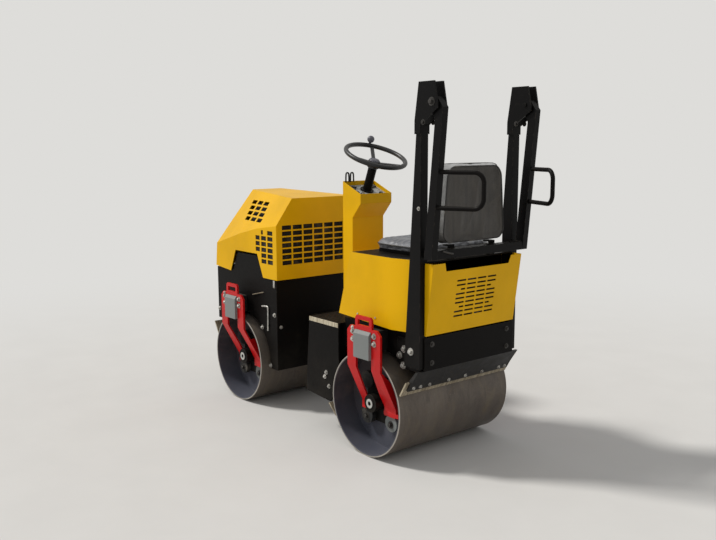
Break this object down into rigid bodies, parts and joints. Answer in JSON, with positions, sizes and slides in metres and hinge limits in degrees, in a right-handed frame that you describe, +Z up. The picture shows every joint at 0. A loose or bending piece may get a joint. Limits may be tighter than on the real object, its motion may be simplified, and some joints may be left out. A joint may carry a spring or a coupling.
{
  "type": "ride-on tandem road roller",
  "caption": "Small ride-on articulated tandem roller with steel drums, tilting engine hood, open seat, steering console and a folding roll hoop.",
  "frame": {"origin": "bottom centre of the whole machine's box, on the ground between the drums", "axes": "+X ahead, towards the engine hood; +Y to the machine's left; +Z up"},
  "size_m": [2.2224, 0.83, 1.83],
  "materials": {
    "black_paint": "satin",
    "yellow_paint": "gloss",
    "red_paint": "gloss",
    "grey_paint": "satin",
    "grey_rubber": "matt",
    "drum_steel": "worn",
    "worn_steel": "worn",
    "seat_vinyl": "worn",
    "dash_grey": "satin",
    "black_plastic": "satin",
    "engine_grey": "matt",
    "chrome_rod": "polished"
  },
  "bodies": {
    "rear_unit": {"rear_frame": "black_paint", "foot_platform": "black_paint", "rear_hitch": "black_paint", "cylinder_bracket": "black_paint", "side_cover_left": "yellow_paint", "side_cover_right": "yellow_paint", "seat_box_front": "yellow_paint", "rear_cover": "yellow_paint", "seat_deck": "black_paint", "seat_pan": "black_paint", "seat_cushion": "seat_vinyl", "seat_back": "seat_vinyl", "console": "yellow_paint", "dash_panel": "dash_grey", "steering_column": "black_paint", "post_left": "black_paint", "post_right": "black_paint", "scraper_rear_outer": "worn_steel", "scraper_rear_inner": "worn_steel", "hanger_rear_left": "red_paint", "hanger_rear_right": "red_paint", "block_rear_left": "grey_paint", "block_rear_right": "grey_paint", "bearing_rear_left": "black_paint", "bearing_rear_right": "black_paint", "buffers_rear_left": "grey_rubber", "buffers_rear_right": "grey_rubber"},
    "front_unit": {"front_frame": "black_paint", "front_hitch": "black_paint", "engine": "engine_grey", "scraper_front_inner": "worn_steel", "scraper_front_outer": "worn_steel", "hanger_front_left": "red_paint", "hanger_front_right": "red_paint", "block_front_left": "grey_paint", "block_front_right": "grey_paint", "bearing_front_left": "black_paint", "bearing_front_right": "black_paint", "buffers_front_left": "grey_rubber", "buffers_front_right": "grey_rubber"},
    "rear_drum": {"drum_rear": "drum_steel"},
    "front_drum": {"drum_front": "drum_steel"},
    "engine_hood": {"hood": "yellow_paint"},
    "folding_hoop": {"roll_hoop": "black_paint", "handle_left": "black_paint", "handle_right": "black_paint"},
    "steering_wheel": {"steering_wheel": "black_plastic"},
    "steering_barrel": {"steering_barrel": "black_paint"},
    "steering_rod": {"steering_rod": "chrome_rod"}
  },
  "joints": [
    {"name": "articulation", "type": "hinge", "parent": "rear_unit", "child": "front_unit", "pos_m": [0.24293, 0, 0.437], "axis": [0, 0, 1], "range_deg": [-30, 30]},
    {"name": "rear_drum_spin", "type": "hinge", "parent": "rear_unit", "child": "rear_drum", "pos_m": [-0.45707, 0, 0.265], "axis": [0, 1, 0], "continuous": true},
    {"name": "front_drum_spin", "type": "hinge", "parent": "front_unit", "child": "front_drum", "pos_m": [0.77293, 0, 0.265], "axis": [0, 1, 0], "continuous": true},
    {"name": "hood_tilt", "type": "hinge", "parent": "front_unit", "child": "engine_hood", "pos_m": [1.10293, 0, 0.79], "axis": [0, 1, 0], "range_deg": [0, 55]},
    {"name": "hoop_fold", "type": "hinge", "parent": "rear_unit", "child": "folding_hoop", "pos_m": [-0.88207, 0, 1.74], "axis": [0, 1, 0], "range_deg": [0, 178]},
    {"name": "wheel_turn", "type": "hinge", "parent": "rear_unit", "child": "steering_wheel", "pos_m": [-0.07807, 0, 1.457], "axis": [-0.3746, 0, 0.9272], "continuous": true},
    {"name": "barrel_yaw", "type": "hinge", "parent": "rear_unit", "child": "steering_barrel", "pos_m": [-0.05707, -0.13, 0.437], "axis": [0, 0, 1], "range_deg": [-7.6, 7.6]},
    {"name": "rod_slide", "type": "slide", "parent": "steering_barrel", "child": "steering_rod", "axis": [1, 0, 0], "range_m": [-0.0691, 0.0691]}
  ],
  "couplings": [
    {"joint": "barrel_yaw", "follows": "articulation", "ratio": 0.25},
    {"joint": "rod_slide", "follows": "articulation", "m_per_rad": 0.13}
  ]
}
